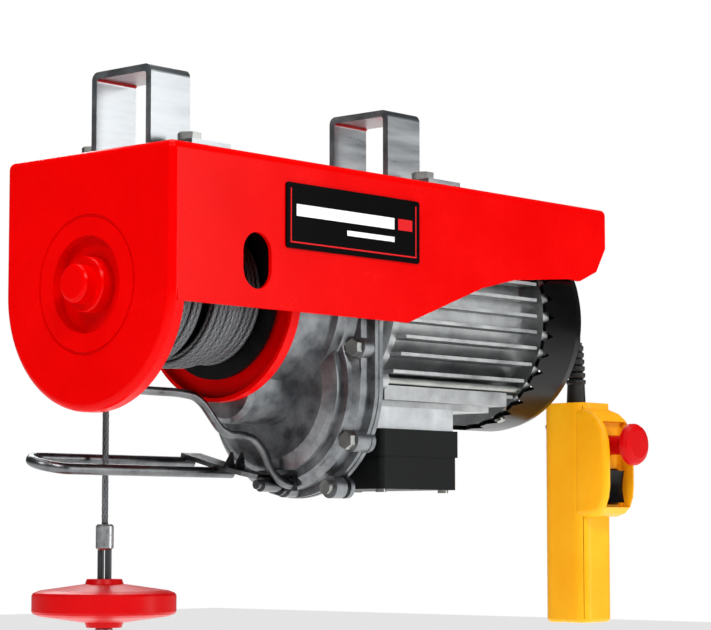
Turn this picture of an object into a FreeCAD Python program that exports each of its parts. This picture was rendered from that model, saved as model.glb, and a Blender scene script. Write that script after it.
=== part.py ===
import FreeCAD, Part
import math
import os
import Sketcher

# Electric wire-rope hoist, hung on a square beam by two strap clamps.
# Row frame: origin on the top plate midway between the clamps, +X towards the motor,
# +Y away from the badge, +Z up. Millimetres.

Vector = FreeCAD.Vector
doc = FreeCAD.newDocument("rope_hoist")
dims = doc.addObject("Spreadsheet::Sheet", "dims")

driving = {
    # sheet-metal frame
    "sheet": 2.5, "frame_left": -153.5, "frame_right": 274.5, "frame_half": 74, "skirt_low": -94.6,
    "fold_radius": 5, "slot_x": -82, "slot_z": -66, "slot_width": 24.5, "slot_height": 34.5,
    "dish_center_z": -83.5, "dish_depth": 11, "seam_x": -148.5, "lip_height": 11.5,
    "plate_x": -36.5, "plate_radius": 67.2, "plate_center_z": -80, "plate_lip": 6,
    "badge_left": -57.7, "badge_right": 68, "badge_top": -15.5, "badge_low": -56,
    # beam clamps
    "clamp_x": 109.5, "strap_width": 33, "strap_wall": 4.5, "beam_half": 22, "beam_top": 50,
    "foot_end": 62, "bolt_y": 43, "bolt_radius": 4, "hex_flats": 13,
    # drum and gears
    "axis_z": -81, "center_distance": 55, "drum_left": -141, "drum_right": -43.5, "drum_radius": 34,
    "flange_radius": 52, "rope_diameter": 4.2, "rope_radius_on_drum": 46, "shaft_radius": 8,
    # gearbox
    "box_left": -34, "upper_boss": 57, "idler_boss": 24.3, "wide_radius": 66, "gear_wall": 4.5,
    "flange_left": 29.5, "flange_split": 33, "flange_right": 36.5, "flange_r": 70.5,
    # motor
    "shield_right": 60, "motor_right": 203, "core_radius": 60, "fin_half": 71, "fin_step": 11,
    "fin_thick": 2.2, "fin_right": 198, "tie_offset": 49.5, "cover_right": 252, "cover_radius": 75.5, "cover_z": -81.5,
    # switch box
    "case_left": 55, "case_right": 132, "case_half": 54, "case_top": -162, "case_split": -179.5,
    "case_low": -201,
    # limit levers
    "lever_z": -198.5, "loop_rod": 3.5, "slack_rod": 2.75,
    # hanging rope end
    "rope_x": -94, "ferrule_top": -224, "disc_top": -258, "disc_low": -288, "disc_radius": 45,
    "hook_eye_z": -343.5, "bowl_z": -402.5,
    # pulley block, hung from the load hook
    "block_eye_z": -492.2, "sheave_z": -547, "sheave_radius": 26, "cheek_gap": 8.2, "cheek_wall": 3,
    # handset and its cable
    "hand_x": 313.6, "hand_y": -18.5, "hand_top": -135, "hand_low": -294, "hand_half": 18.5,
    "cable_radius": 3.5, "coil_y": 24, "coil_z": -62, "coil_radius": 42.5, "coil_start": 281.5,
}
for row, (alias, value) in enumerate(driving.items(), 1):
    dims.set(f"A{row}", str(value))
    dims.setAlias(f"A{row}", alias)
doc.recompute()

upright = FreeCAD.Rotation()
alongX = FreeCAD.Rotation(Vector(0, 1, 0), 90)
alongY = FreeCAD.Rotation(Vector(1, 0, 0), -90)
turns = {"x": alongX, "y": alongY, "z": upright}
pieces = []


def value(rule):
    """A rule's number now; a rule is a number or an expression on the sheet."""
    if not isinstance(rule, str):
        return float(rule)
    result = dims.evalExpression(rule)
    return float(getattr(result, "Value", result))


def bind(thing, **rules):
    for prop, rule in rules.items():
        thing.setExpression(prop, str(rule))
    return thing


def place(thing, at, turn=upright):
    thing.Placement = FreeCAD.Placement(Vector(0, 0, 0), turn)
    for axis, rule in zip("xyz", at):
        thing.setExpression(f"Placement.Base.{axis}", str(rule))
    return thing


def keep(thing, label):
    """Marks a finished sub-part: its label names its node and file."""
    thing.Label = label
    pieces.append(thing)
    return thing


def block(name, low, extent):
    thing = doc.addObject("Part::Box", name)
    bind(thing, Length=extent[0], Width=extent[1], Height=extent[2])
    return place(thing, low)


def leaningBlock(name, extent, center, shift, angle):
    """A block moved by shift from the centre, then turned about the X axis through it."""
    thing = doc.addObject("Part::Box", name)
    bind(thing, Length=extent[0], Width=extent[1], Height=extent[2])
    lean = FreeCAD.Rotation(Vector(1, 0, 0), angle)
    thing.Placement = FreeCAD.Placement(center + lean.multVec(Vector(*shift)), lean)
    return thing


def rod(name, radius, length, at, axis="x"):
    thing = doc.addObject("Part::Cylinder", name)
    bind(thing, Radius=radius, Height=length)
    return place(thing, at, turns[axis])


def hexagon(name, flats, height, at, axis="z"):
    thing = doc.addObject("Part::Prism", name)
    thing.Polygon = 6
    bind(thing, Circumradius=f"({flats}) / 2 / cos(30 deg)", Height=height)
    return place(thing, at, turns[axis])


def fuse(name, parts):
    thing = doc.addObject("Part::MultiFuse", name)
    thing.Shapes = list(parts)
    return thing


def group(name, parts):
    thing = doc.addObject("Part::Compound", name)
    thing.Links = list(parts)
    return thing


def cut(name, base, tools):
    thing = doc.addObject("Part::Cut", name)
    thing.Base = base
    tools = list(tools)
    thing.Tool = tools[0] if len(tools) == 1 else fuse(name + "_tool", tools)
    return thing


def ring(name, outer, inner, length, at, axis="x"):
    bore = rod(name + "_bore", inner, length, at, axis)
    return cut(name, rod(name + "_blank", outer, length, at, axis), [bore])


# --- sketched features -------------------------------------------------------------------

def newSketch(body, plane, offset=0):
    """A sketch on one of the body's own origin planes, moved along the plane's normal."""
    sketch = body.newObject("Sketcher::SketchObject", body.Name + "_sketch")
    home = [item for item in body.Origin.OriginFeatures if item.Role == plane][0]
    sketch.AttachmentSupport = (home, [""])
    sketch.MapMode = "FlatFace"
    sketch.setExpression("AttachmentOffset.Base.z", str(offset))
    return sketch


def pin(sketch, geometry, end, rules):
    """Holds one point of the sketch at two rules measured from the sketch's origin."""
    for kind, rule in zip(("DistanceX", "DistanceY"), rules):
        number = sketch.addConstraint(Sketcher.Constraint(kind, -1, 1, geometry, end, value(rule)))
        sketch.setExpression(f"Constraints[{number}]", str(rule))


def drawOutline(sketch, corners):
    points = [Vector(value(across), value(up), 0) for across, up in corners]
    first = sketch.GeometryCount
    for start, end in zip(points, points[1:] + points[:1]):
        sketch.addGeometry(Part.LineSegment(start, end), False)
    for index in range(len(points)):
        following = first + (index + 1) % len(points)
        sketch.addConstraint(Sketcher.Constraint("Coincident", first + index, 2, following, 1))
        pin(sketch, first + index, 1, corners[index])


def drawCircle(sketch, center, radius):
    middle = Vector(value(center[0]), value(center[1]), 0)
    number = sketch.addGeometry(Part.Circle(middle, Vector(0, 0, 1), value(radius)), False)
    pin(sketch, number, 3, center)
    held = sketch.addConstraint(Sketcher.Constraint("Radius", number, value(radius)))
    sketch.setExpression(f"Constraints[{held}]", str(radius))


def sweepSketch(body, kind, sketch, depth):
    """Pad or Pocket of a sketch along its plane's normal."""
    feature = body.newObject("PartDesign::" + kind, f"{body.Name}_{kind.lower()}")
    feature.Profile = sketch
    bind(feature, Length=depth)
    if kind == "Pocket":
        feature.Reversed = True
    sketch.Visibility = False
    return feature


def slab(name, plane, start, depth, corners=None, circles=(), body=None, kind="Pad"):
    """An outline with round holes, or a circle, swept along the plane's normal from start."""
    body = body or doc.addObject("PartDesign::Body", name)
    sketch = newSketch(body, plane, start)
    if corners:
        drawOutline(sketch, corners)
    for center, radius in circles:
        drawCircle(sketch, center, radius)
    sweepSketch(body, kind, sketch, depth)
    return body


def turned(name, profile, at, axis="x"):
    """A profile of (distance along the axis, radius) turned a full circle."""
    facing = {
        "x": upright,
        "y": FreeCAD.Rotation(Vector(0, 0, 1), 90),
        "z": FreeCAD.Rotation(Vector(0, 1, 0), -90),
    }
    body = doc.addObject("PartDesign::Body", name)
    sketch = newSketch(body, "XY_Plane")
    drawOutline(sketch, profile)
    feature = body.newObject("PartDesign::Revolution", name + "_revolution")
    feature.Profile = sketch
    feature.ReferenceAxis = (sketch, ["H_Axis"])
    feature.Angle = 360
    return place(body, at, facing[axis])


def soften(body, radius, chosen):
    """Fillets the edges of the body's last feature that the test picks."""
    doc.recompute()
    base = body.Tip
    names = [f"Edge{n}" for n, edge in enumerate(base.Shape.Edges, 1) if chosen(edge)]
    feature = body.newObject("PartDesign::Fillet", body.Name + "_fillet")
    feature.Base = (base, names)
    bind(feature, Radius=radius)
    doc.recompute()
    return body


def edgeAlong(axis, **near):
    """Picks straight edges along an axis whose middle lies near the given places."""
    def test(edge):
        if edge.Curve.TypeId != "Part::GeomLine":
            return False
        if abs(abs(getattr(edge.Curve.Direction, axis)) - 1) > 0.001:
            return False
        middle = edge.CenterOfMass
        return all(min(abs(getattr(middle, k) - v) for v in spots) < 0.2 for k, spots in near.items())
    return test


def edgeOnPlane(axis, level):
    def test(edge):
        box = edge.BoundBox
        low, high = getattr(box, axis + "Min"), getattr(box, axis + "Max")
        return abs(low - level) < 0.05 and abs(high - level) < 0.05
    return test


# --- tubes along a route -----------------------------------------------------------------

def roundedPath(points, report=None):
    """Straight runs joined by tangent arcs; each arc is as large as its two runs allow."""
    edges = []
    here = points[0]
    radii = []
    for before, corner, after in zip(points, points[1:], points[2:]):
        inward, outward = (corner - before).normalize(), (after - corner).normalize()
        half = inward.getAngle(outward) / 2
        shorter = min((corner - before).Length, (after - corner).Length)
        reach = 0.45 * shorter
        radii.append(reach / math.tan(half))
        start, end = corner - inward * reach, corner + outward * reach
        bulge = (outward - inward).normalize()
        middle = corner + bulge * (radii[-1] / math.cos(half) - radii[-1])
        edges.append(Part.LineSegment(here, start).toShape())
        edges.append(Part.Arc(start, middle, end).toShape())
        here = end
    edges.append(Part.LineSegment(here, points[-1]).toShape())
    if report:
        print(report, "radii", [round(radius) for radius in radii])
    return Part.Wire(edges)


def tubeShape(points, radius, report=None):
    path = roundedPath([Vector(*point) for point in points], report)
    start = path.Edges[0]
    section = Part.Circle(start.valueAt(start.FirstParameter), start.tangentAt(start.FirstParameter), radius)
    solid = path.makePipeShell([Part.Wire(section.toShape())], True, True, 2)
    ratio = solid.Volume / (math.pi * radius ** 2 * path.Length)
    assert 0.98 < ratio < 1.02, f"{report} tube volume is off by {ratio:.3f}"
    if report:
        print(report, "length", round(path.Length, 1))
    return solid


def feature(label, shape):
    """A sub-part whose shape is worked out here, from the sheet's numbers."""
    thing = doc.addObject("Part::Feature", label)
    home = shape.Placement
    thing.Shape = shape
    thing.Placement = home
    return thing


def size(alias):
    return value("dims." + alias)


# --- frame -------------------------------------------------------------------------------

def makeHousingChannel():
    # side profile: level skirt, then a rising edge towards the tail
    side = [("dims.seam_x", 0), ("dims.frame_right", 0), ("dims.frame_right", -28), (263.6, -45.4),
            (244, -53.5), (233, -52.8), (169.7, -58.4), (134.8, -66.5), (58.2, "dims.skirt_low"),
            ("dims.seam_x", "dims.skirt_low")]
    body = slab("channel_sheet", "XZ_Plane", "-dims.frame_half", "2 * dims.frame_half", side)
    soften(body, "dims.fold_radius", edgeAlong("x", z=[0]))
    inner = "dims.frame_half - dims.sheet"
    room = block("channel_room", ("dims.seam_x - 1", f"-({inner})", -120),
                 ("dims.frame_right - dims.sheet - dims.seam_x + 1", f"2 * ({inner})", "120 - dims.sheet"))
    tail = block("channel_tail", ("dims.frame_right - 2 * dims.sheet", f"-({inner})", -120),
                 (20, f"2 * ({inner})", "120 - dims.sheet - dims.lip_height"))
    straight = "dims.slot_height - dims.slot_width"
    slot = [block("slot_middle", ("dims.slot_x - dims.slot_width / 2", -90, f"dims.slot_z - ({straight}) / 2"),
                  ("dims.slot_width", 180, straight))]
    for end in (-1, 1):
        slot.append(rod(f"slot_end_{end + 1}", "dims.slot_width / 2", 180,
                        ("dims.slot_x", -90, f"dims.slot_z + {end} * ({straight}) / 2"), "y"))
    holes = [rod(f"clamp_hole_{n}", 4.5, 20, (f"{x} * dims.clamp_x", f"{y} * dims.bolt_y", -10), "z")
             for n, (x, y) in enumerate(((-1, -1), (-1, 1), (1, -1), (1, 1)))]
    strap_slot = block("strap_slot", ("dims.frame_right - 10", "dims.coil_y - 4", -10.5), (20, 8, 6))
    keep(cut("housing_channel", body, [room, tail, strap_slot] + slot + holes), "housing_channel")


def makeDrumEndPlate():
    half, low = "dims.frame_half", "dims.dish_center_z"
    body = slab("dish", "YZ_Plane", "dims.frame_left", "dims.dish_depth", None, [((0, low), half)])
    slab("dish", "YZ_Plane", "dims.frame_left", "dims.dish_depth",
         [(f"-{half}", low), (half, low), (half, 0), (f"-{half}", 0)], body=body)
    soften(body, "dims.fold_radius", edgeAlong("x", z=[0]))
    soften(body, 4.5, edgeOnPlane("X", size("frame_left")))
    inner = f"{half} - dims.sheet"
    back = "dims.frame_left + dims.sheet"
    hollow = fuse("dish_hollow", [
        rod("dish_hollow_round", inner, 20, (back, 0, low)),
        block("dish_hollow_square", (back, f"-({inner})", low), (20, f"2 * ({inner})", f"-{low} - dims.sheet"))])
    rim = block("dish_rim", ("dims.seam_x", -80, "dims.skirt_low"), (20, 160, "5 - dims.skirt_low"))
    shell = cut("dish_shell", body, [hollow, rim])
    groove = turned("dish_groove", [("dims.frame_left - 1", 40.4), ("dims.frame_left + 1.1", 41),
                                    ("dims.frame_left + 1.1", 42.4), ("dims.frame_left - 1", 43)],
                    (0, 0, "dims.axis_z"))
    backing = ring("dish_backing", 32.6, 15, 9.3, ("dims.frame_left + 1.5", 0, "dims.axis_z"))
    recess = ring("dish_recess", 29.6, 16.4, 9.5, ("dims.frame_left - 1.5", 0, "dims.axis_z"))
    cup = turned("bearing_cup", [(-144, 0), (-144, 17.4), (-154.2, 16.9), (-155.4, 16.1), (-155.4, 11.8),
                                 (-162.6, 11.8), (-164, 11), (-164.5, 9.4), (-164.5, 0)],
                 (0, 0, "dims.axis_z"))
    bore = rod("bearing_seat", 10, 20, (-161.5, 0, "dims.axis_z"))
    pressed = cut("dish_pressed", fuse("dish_with_backing", [shell, backing]), [groove, recess])
    keep(cut("drum_end_plate", fuse("dish_with_cup", [pressed, cup]), [bore]), "drum_end_plate")


def makeGearboxEndPlate():
    radius, low, start = "dims.plate_radius", "dims.plate_center_z", "dims.plate_x - dims.plate_lip"
    depth = "dims.plate_lip + dims.sheet"
    top = f"-dims.sheet - {low}"
    body = slab("inner_plate", "YZ_Plane", start, depth, None, [((0, low), radius)])
    slab("inner_plate", "YZ_Plane", start, depth,
         [(f"-{radius}", low), (radius, low), (radius, "-dims.sheet"), (f"-{radius}", "-dims.sheet")], body=body)
    soften(body, 2, edgeOnPlane("X", size("plate_x") + size("sheet")))
    inner = f"{radius} - dims.sheet"
    hollow = [rod("inner_hollow_round", inner, "dims.plate_lip", (start, 0, low)),
              block("inner_hollow_square", (start, f"-({inner})", low), ("dims.plate_lip", f"2 * ({inner})", top))]
    opening = rod("inner_opening", 24, 30, (start, 0, "dims.axis_z"))
    keep(cut("gearbox_end_plate", body, hollow + [opening]), "gearbox_end_plate")


def makeClamps():
    wall, half, top, end = "dims.strap_wall", "dims.beam_half", "dims.beam_top", "dims.foot_end"
    for side, label in ((-1, "clamp_left"), (1, "clamp_right")):
        arm = [(end, 0), (end, wall), (f"{half} + {wall}", wall), (f"{half} + {wall}", f"{top} + {wall}")]
        inside = [(half, top), (half, 0)]
        mirrored = [(f"-({across})", up) for across, up in reversed(arm)]
        mirrored_inside = [(f"-({across})", up) for across, up in reversed(inside)]
        start = f"{side} * dims.clamp_x - dims.strap_width / 2"
        body = slab(label + "_strap", "YZ_Plane", start, "dims.strap_width",
                    arm + mirrored + mirrored_inside + list(reversed(inside))[1:] + inside[1:])
        soften(body, 5, edgeAlong("x", z=[size("beam_top") + size("strap_wall")]))
        soften(body, 2, edgeAlong("x", z=[size("beam_top")]))
        soften(body, 2.5, edgeAlong("x", z=[size("strap_wall")],
                                    y=[size("beam_half") + size("strap_wall"),
                                       -size("beam_half") - size("strap_wall")]))
        holes = [rod(f"{label}_hole_{y + 1}", 4.5, 20, (f"{side} * dims.clamp_x", f"{y} * dims.bolt_y", -5), "z")
                 for y in (-1, 1)]
        keep(cut(label, body, holes), label)


def makeClampFasteners():
    bolts, washers, nuts = [], [], []
    shank, under = "dims.bolt_radius", "-dims.sheet"
    for n, (x, y) in enumerate(((-1, -1), (-1, 1), (1, -1), (1, 1))):
        spot = (f"{x} * dims.clamp_x", f"{y} * dims.bolt_y")
        head = hexagon(f"clamp_head_{n}", "dims.hex_flats", 5.3, spot + ("dims.strap_wall + 1.6",))
        stem = rod(f"clamp_stem_{n}", shank, 20, spot + ("dims.strap_wall + 1.6 - 20",), "z")
        bolts.append(fuse(f"clamp_bolt_{n}", [head, stem]))
        for m, level in enumerate(("dims.strap_wall", f"{under} - 1.6")):
            washers.append(ring(f"washer_{n}_{m}", 8.5, f"{shank} + 0.2", 1.6, spot + (level,), "z"))
        blank = hexagon(f"nut_blank_{n}", "dims.hex_flats", 6.5, spot + (f"{under} - 8.1",))
        hole = rod(f"nut_bore_{n}", f"{shank} + 0.05", 10, spot + (f"{under} - 10",), "z")
        nuts.append(cut(f"clamp_nut_{n}", blank, [hole]))
    keep(group("clamp_bolts", bolts), "clamp_bolts")
    keep(group("clamp_washers", washers), "clamp_washers")
    keep(group("clamp_nuts", nuts), "clamp_nuts")


def makeBadge():
    body = slab("badge", "XZ_Plane", "dims.frame_half", 1.2,
                [("dims.badge_left", "dims.badge_low"), ("dims.badge_right", "dims.badge_low"),
                 ("dims.badge_right", "dims.badge_top"), ("dims.badge_left", "dims.badge_top")])
    keep(soften(body, 2, edgeAlong("y")), "badge_plate")


# --- gearbox -----------------------------------------------------------------------------

idlerZ = "dims.axis_z - dims.center_distance"
# flange bolts of each gear centre: bolt circle, stem length, angles from +Y
boltCircles = {"idler": (67.5, 20, (20.5, 159.5, 211.3)), "drum": (60, 27, (35, 145))}
earY, earZ = "76 * cos(238 deg)", f"{idlerZ} + 76 * sin(238 deg)"


def boltSpots():
    """Places (y, z) and stem lengths of the flange bolts on the two ends of the long flange."""
    for end, (circle, length, angles) in boltCircles.items():
        center = idlerZ if end == "idler" else "dims.axis_z"
        for angle in angles:
            yield f"{circle} * cos({angle} deg)", f"{center} + {circle} * sin({angle} deg)", length


def longFlange(name, radius, start, length):
    """Two discs on the gear centres joined by a block as wide as they are."""
    upper = rod(name + "_upper", radius, length, (start, 0, "dims.axis_z"))
    lower = rod(name + "_lower", radius, length, (start, 0, idlerZ))
    middle = block(name + "_middle", (start, f"-({radius})", idlerZ), (length, f"2 * ({radius})", "dims.center_distance"))
    return [upper, lower, middle]


def makeGearboxHousing():
    left = "dims.box_left"
    solid = [
        turned("upper_boss", [(0, 0), (0, "dims.upper_boss - 4"), (4, "dims.upper_boss"), (40, "dims.upper_boss"),
                              (40.5, "dims.upper_boss + 4"), (48, "dims.upper_boss + 4.6"),
                              (54, "dims.wide_radius - 0.5"), (60, "dims.wide_radius - 0.5"), (60, 0)],
               (left, 0, "dims.axis_z")),
        turned("lower_boss", [(0, 0), (0, "dims.idler_boss - 3"), (3, "dims.idler_boss"), (44, "dims.idler_boss"),
                              (44, 0)], (left, 0, idlerZ)),
        turned("wide_boss", [(0, 0), (0, 46), (2, 52), (3.6, 55.5), (8, 56), (8.4, 60.5), (11, 62),
                             (14, "dims.wide_radius"), (23, "dims.wide_radius"), (23, 0)], (6.5, 0, idlerZ)),
        block("wide_waist", (21, "-dims.wide_radius", idlerZ), (8.5, "2 * dims.wide_radius", "dims.center_distance")),
        block("waist_rib", (left + " + 2", -4, f"{idlerZ} - 22"), (50, 8, "dims.center_distance")),
        block("lever_lug", (19.5, -8, "dims.lever_z"), (10, 16, 20)),
        rod("lever_lug_end", 8, 10, (19.5, 0, "dims.lever_z")),
        rod("lower_ear", 7, 10, (19.5, earY, earZ)),
    ]
    for n, (y, z, _) in enumerate(boltSpots()):
        solid.append(rod(f"bolt_boss_{n}", 7, "dims.flange_split - 20", (20, y, z)))
    solid += longFlange("housing_flange", "dims.flange_r", "dims.flange_left", "dims.flange_split - dims.flange_left")
    room = [
        rod("drum_gear_room", 51, 80, (left + " + dims.gear_wall", 0, "dims.axis_z")),
        rod("pinion_room", 12, 60, (left + " + dims.gear_wall", 0, idlerZ)),
        rod("idler_gear_room", 51, 30, (11.5, 0, idlerZ)),
        block("lever_notch", (5, -17, "dims.lever_z - 20"), (14.5, 34, 29.5)),
        rod("idler_bush_seat", 8, 3.2, (left + " + 1.5", 0, idlerZ)),
        rod("drum_shaft_way", 10, 20, (left + " - 2", 0, "dims.axis_z")),
        rod("lever_shaft_way", 3.05, 30, (15, 0, "dims.lever_z")),
        rod("lower_ear_way", 2.6, 30, (15, earY, earZ)),
    ]
    for n, (y, z, _) in enumerate(boltSpots()):
        room.append(rod(f"bolt_way_{n}", 3.2, 30, (12, y, z)))
        room.append(rod(f"bolt_seat_{n}", 6.6, 10, (10, y, z)))
    keep(cut("gearbox_housing", fuse("gearbox_casting", solid), room), "gearbox_housing")


def makeGearboxCover():
    width = "dims.flange_right - dims.flange_split"
    plate = longFlange("cover_flange", "dims.flange_r + 0.5", "dims.flange_split", width)
    plate += [rod(f"cover_boss_{n}", 7.4, width, ("dims.flange_split", y, z)) for n, (y, z, _) in enumerate(boltSpots())]
    ear = rod("cover_ear", 7, width, ("dims.flange_split", earY, earZ))
    lug = rod("cover_lug", 8.5, width, ("dims.flange_split", 0, "dims.lever_z"))
    seat = rod("idler_seat", 14, 6, ("dims.flange_split - 6", 0, idlerZ))
    holes = [rod("motor_shaft_way", 16, 20, (25, 0, "dims.axis_z")),
             rod("idler_bearing_seat", 8, 7, ("dims.flange_split - 6", 0, idlerZ)),
             rod("cover_lever_way", 3.05, 20, (25, 0, "dims.lever_z")),
             rod("cover_ear_way", 2.6, 20, (25, earY, earZ))]
    for n, (y, z, _) in enumerate(boltSpots()):
        holes.append(rod(f"cover_way_{n}", 3.2, 20, (25, y, z)))
    keep(cut("gearbox_cover", fuse("cover_blank", plate + [ear, lug, seat]), holes), "gearbox_cover")
    bolts = []
    for n, (y, z, length) in enumerate(boltSpots()):
        head = hexagon(f"flange_head_{n}", 10, 5, (14.9, y, z), "x")
        stem = rod(f"flange_stem_{n}", 3, length, (19, y, z))
        bolts.append(fuse(f"flange_bolt_{n}", [head, stem]))
    bolts.append(fuse("ear_screw", [rod("ear_head", 4.5, 4.4, (15, earY, earZ)),
                                    rod("ear_stem", 2.5, 17, (19, earY, earZ))]))
    keep(group("gearbox_bolts", bolts), "gearbox_bolts")


def gearShape(teeth, module, width, start, centerZ, bore, phase):
    """A toothed disc along +X; phase turns it by that share of a tooth from pointing down."""
    outer, root = module * (teeth / 2 + 0.8), module * (teeth / 2 - 1.25)
    pitch = 2 * math.pi / teeth
    outline = []
    for tooth in range(teeth):
        middle = -math.pi / 2 + (tooth + phase) * pitch
        for radius, share in ((root, -0.27), (outer, -0.11), (outer, 0.11), (root, 0.27)):
            angle = middle + share * pitch
            outline.append(Vector(start, radius * math.cos(angle), centerZ + radius * math.sin(angle)))
    face = Part.Face(Part.makePolygon(outline + outline[:1]))
    disc = face.extrude(Vector(width, 0, 0))
    return disc.cut(Part.makeCylinder(bore, width, Vector(start, 0, centerZ), Vector(1, 0, 0)))


def makeGears():
    drum, idler = size("axis_z"), size("axis_z") - size("center_distance")
    keep(feature("drum_gear", gearShape(75, 1.25, 20, -24, drum, 8.02, 0)), "drum_gear")
    keep(feature("motor_pinion", gearShape(14, 1, 14, 11, drum, 4, 0)), "motor_pinion")
    keep(feature("idler_gear", gearShape(96, 1, 11, 12.5, idler, 6.02, 0.5)), "idler_gear")
    pinion = gearShape(13, 1.25, 22, -25, idler, 5, 0)
    spindle = Part.makeCylinder(5, 63, Vector(-32.2, 0, idler), Vector(1, 0, 0))
    hub = Part.makeCylinder(6, 25, Vector(-1.5, 0, idler), Vector(1, 0, 0))
    keep(feature("idler_shaft", pinion.fuse([spindle, hub]).removeSplitter()), "idler_shaft")


# --- drum --------------------------------------------------------------------------------

def makeDrum():
    length = "dims.drum_right - dims.drum_left"
    keep(turned("drum", [(0, 8.02), (0, "dims.flange_radius"), (3, "dims.flange_radius"), (3, "dims.drum_radius"),
                         (length, "dims.drum_radius"), (length, "dims.flange_radius"),
                         (f"{length} + 3", "dims.flange_radius"), (f"{length} + 3", 8.02)],
                ("dims.drum_left", 0, "dims.axis_z")), "drum")
    keep(turned("drum_shaft", [(-160.5, 0), (-160.5, 7.4), (-160, 8), (-2, 8), (-2, 0)],
                (0, 0, "dims.axis_z")), "drum_shaft")
    rope_low = "dims.rope_radius_on_drum - dims.rope_diameter / 2 - 0.4"
    run = "dims.rope_x - dims.drum_left"
    winding = [(3.1, 34.1), (3.1, 46.5), (9, 48.4), (22, 48.6), (28, 46.6), (f"{run} - 4.4", 45.6),
               (f"{run} - 3.4", rope_low), (f"{run} + 3.4", rope_low), (f"{run} + 4.4", 44.6), (66, 46.4),
               (78, 45), (88, 43.6), (f"{length} - 0.1", 43.4), (f"{length} - 0.1", 34.1)]
    keep(turned("rope_windings", winding, ("dims.drum_left", 0, "dims.axis_z")), "rope_windings")


def makeBearings():
    drum = "dims.axis_z"
    rings = [ring("drum_bush_left", 9.98, 8.05, 16, (-161.2, 0, drum)),
             ring("drum_bush_right", 9.98, 8.05, 6, ("dims.box_left - 0.5", 0, drum)),
             ring("idler_bush_left", 7.95, 5.05, 3, ("dims.box_left + 1.6", 0, idlerZ)),
             ring("idler_bush_right", 7.95, 5.05, 5.4, ("dims.flange_split - 5.6", 0, idlerZ)),
             ring("rotor_bearing_front", 15.9, 6.05, 9, (38, 0, drum)),
             ring("rotor_bearing_rear", 13.9, 6.05, 8, (194, 0, drum))]
    keep(group("bearings", rings), "bearings")


# --- motor -------------------------------------------------------------------------------

tieSpots = [(y, z) for y in (-1, 1) for z in (-1, 1)]


def tiePlace(y, z):
    return f"{y} * dims.tie_offset", f"dims.axis_z + {z} * dims.tie_offset"


def coverScrewPins(name, radius, start, length):
    """Round pins that stand out from the fan cover's axis, one where each of its screws sits."""
    pins = []
    for n, angle in enumerate((25, 155, 205, 335)):
        lean = FreeCAD.Rotation(Vector(1, 0, 0), angle)
        thing = doc.addObject("Part::Cylinder", f"{name}_{n}")
        thing.Radius, thing.Height = radius, length
        shift = lean.multVec(Vector(0, 0, start))
        thing.Placement = FreeCAD.Placement(Vector(206.5, 0, size("cover_z")) + shift, lean)
        pins.append(thing)
    return pins


def makeMotorShields():
    length = "dims.shield_right - dims.flange_right"
    solid = [turned("shield_dish", [(0, 0), (0, 66), (10, 64), (f"{length} - 6", 60), (f"{length} - 6", 66),
                                    (length, 66), (length, 0)], ("dims.flange_right", 0, "dims.axis_z"))]
    room = [rod("shield_room", 53, 40, ("dims.flange_right + 12", 0, "dims.axis_z")),
            rod("front_bearing_seat", 15.95, 20, ("dims.flange_right - 1", 0, "dims.axis_z"))]
    for n, (y, z) in enumerate(tieSpots):
        solid.append(rod(f"shield_lug_{n}", 6.5, 12, ("dims.shield_right - 12",) + tiePlace(y, z)))
        room.append(rod(f"shield_lug_way_{n}", 2.6, 40, (40,) + tiePlace(y, z)))
    for n, (y, z, _) in enumerate(boltSpots()):
        room.append(rod(f"shield_bolt_way_{n}", 3.2, 12, ("dims.flange_right - 1", y, z)))
    keep(cut("motor_front_shield", fuse("shield_casting", solid), room), "motor_front_shield")
    rear = rod("rear_disc", 72.4, 7, ("dims.motor_right", 0, "dims.cover_z"))
    hub = rod("rear_hub", 18, 14, ("dims.motor_right - 10", 0, "dims.axis_z"))
    ways = [rod("rear_bearing_seat", 13.95, 12, ("dims.motor_right - 11", 0, "dims.axis_z")),
            rod("rear_shaft_way", 7, 30, ("dims.motor_right - 11", 0, "dims.axis_z"))]
    ways += [rod(f"rear_way_{n}", 2.6, 20, ("dims.motor_right - 2",) + tiePlace(y, z))
             for n, (y, z) in enumerate(tieSpots)]
    ways += coverScrewPins("rear_screw_way", 1.65, 60, 14)
    keep(cut("motor_rear_shield", fuse("rear_casting", [rear, hub]), ways), "motor_rear_shield")


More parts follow.
